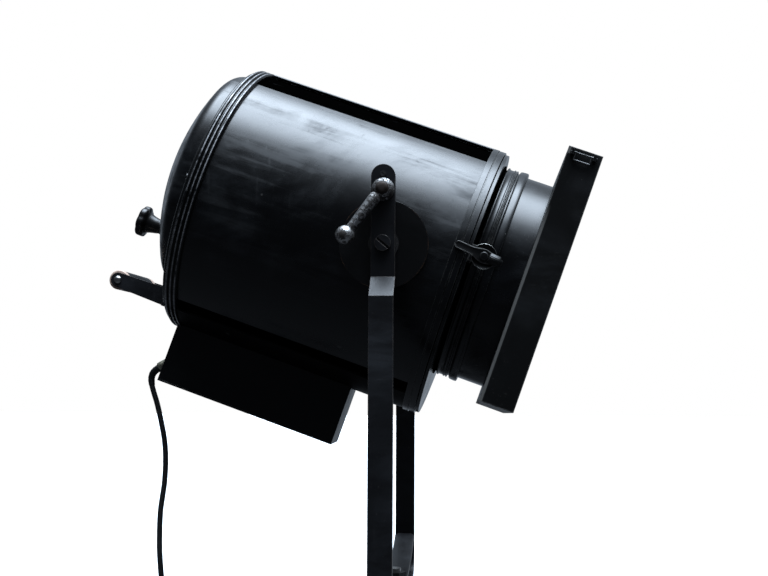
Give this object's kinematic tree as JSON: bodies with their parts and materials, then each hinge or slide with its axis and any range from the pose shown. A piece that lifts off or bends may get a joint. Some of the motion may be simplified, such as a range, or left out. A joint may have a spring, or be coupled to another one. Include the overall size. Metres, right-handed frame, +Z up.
{
  "type": "fresnel spotlight",
  "caption": "Round-bodied studio spotlight on a flat-bar yoke, with a hinged lens door, a square frame holder, a tilt clamp lever and a coiled mains cord.",
  "frame": {"origin": "centre of the stand spigot at its shoulder", "axes": "+Z up along the spigot, +X the way the lamp points, +Y away from the clamp lever's side"},
  "size_m": [0.5637, 0.4027, 0.7848],
  "materials": {
    "housing_paint": "semi-gloss, a little worn",
    "dark_metal": "matt",
    "bright_steel": "plain",
    "worn_steel": "worn",
    "brake_fibre": "matt",
    "grip_tan": "satin",
    "gland_metal": "dull",
    "cast_aluminium": "cast",
    "polished_aluminium": "polished",
    "ceramic": "matt",
    "clear_glass": "clear",
    "knob_plastic": "moulded",
    "cord_rubber": "matt",
    "tie_fabric": "woven"
  },
  "bodies": {
    "yoke": {"yoke_bar": "housing_paint", "yoke_saddle": "housing_paint", "stand_spigot": "bright_steel", "stand_fasteners": "worn_steel", "pivot_screws": "worn_steel", "friction_washers": "brake_fibre", "clamp_shoe": "housing_paint", "shoe_screw": "worn_steel"},
    "clamp_lever": {"clamp_hub": "worn_steel", "clamp_handle": "worn_steel"},
    "head": {"friction_discs": "housing_paint", "rear_ring": "housing_paint", "front_ring": "housing_paint", "skin_near": "housing_paint", "skin_far": "housing_paint", "liner": "dark_metal", "tie_rods": "worn_steel", "vent_duct": "housing_paint", "vent_cap": "housing_paint", "bottom_cover": "housing_paint", "rear_plate": "housing_paint", "rear_dome": "housing_paint", "rear_screws": "worn_steel", "handle_bracket": "housing_paint", "handle_grip": "grip_tan", "guide_rods": "bright_steel", "rod_brackets": "housing_paint", "terminal_box": "housing_paint", "box_lid": "housing_paint", "lid_screws": "worn_steel", "terminal_block": "ceramic", "cable_gland": "gland_metal", "hinge_leaf": "housing_paint", "hinge_pin": "bright_steel", "keeper_button": "bright_steel", "cord": "cord_rubber", "cord_coil": "cord_rubber", "coil_tie": "tie_fabric", "plug": "cord_rubber"},
    "focus": {"focus_knob": "knob_plastic", "focus_screw": "bright_steel"},
    "carriage": {"lamp_carriage": "cast_aluminium", "lamp_socket": "ceramic", "lamp": "clear_glass", "reflector": "polished_aluminium"},
    "door": {"door_plate": "housing_paint", "door_leaf": "housing_paint", "snout": "housing_paint", "snout_beads": "housing_paint", "fresnel_lens": "clear_glass", "lens_ring": "dark_metal", "latch_bracket": "housing_paint"},
    "latch": {"latch_pivot": "worn_steel", "latch_lever": "housing_paint", "latch_knob": "worn_steel"},
    "holder": {"holder_box": "housing_paint", "holder_guides": "housing_paint", "holder_collar": "dark_metal", "catch_base": "housing_paint"},
    "catch": {"frame_catch": "worn_steel"}
  },
  "joints": [
    {"name": "tilt", "type": "hinge", "parent": "yoke", "child": "head", "pos_m": [0, 0, 0.41], "axis": [0, 1, 0], "range_deg": [-28, 62]},
    {"name": "clamp_turn", "type": "hinge", "parent": "yoke", "child": "clamp_lever", "pos_m": [0, -0.19, 0.4665], "axis": [0, 1, 0], "range_deg": [-20, 110]},
    {"name": "focus_turn", "type": "hinge", "parent": "head", "child": "focus", "pos_m": [-0.30645, 0, 0.45862], "axis": [0.9421, 0, -0.3354], "range_deg": [0, 1800]},
    {"name": "carriage_slide", "type": "slide", "parent": "head", "child": "carriage", "axis": [0.9421, 0, -0.3354], "range_m": [0, 0.1]},
    {"name": "door_swing", "type": "hinge", "parent": "head", "child": "door", "pos_m": [0.07866, 0.1685, 0.38199], "axis": [-0.3354, 0, -0.9421], "range_deg": [-100, 0]},
    {"name": "latch_turn", "type": "hinge", "parent": "door", "child": "latch", "pos_m": [0.10475, -0.1645, 0.39712], "axis": [0, 1, 0], "range_deg": [0, 70], "stiffness_Nm_per_rad": 0.06, "springref_deg": -28.65},
    {"name": "holder_turn", "type": "hinge", "parent": "door", "child": "holder", "pos_m": [0.14755, 0, 0.3772], "axis": [0.9421, 0, -0.3354], "range_deg": [-90, 90]},
    {"name": "catch_flip", "type": "hinge", "parent": "holder", "child": "catch", "pos_m": [0.21093, -0.1416, 0.5075], "axis": [-0.9421, 0, 0.3354], "range_deg": [0, 170]}
  ],
  "couplings": [
    {"joint": "focus_turn", "follows": "carriage_slide", "rad_per_m": 314}
  ]
}
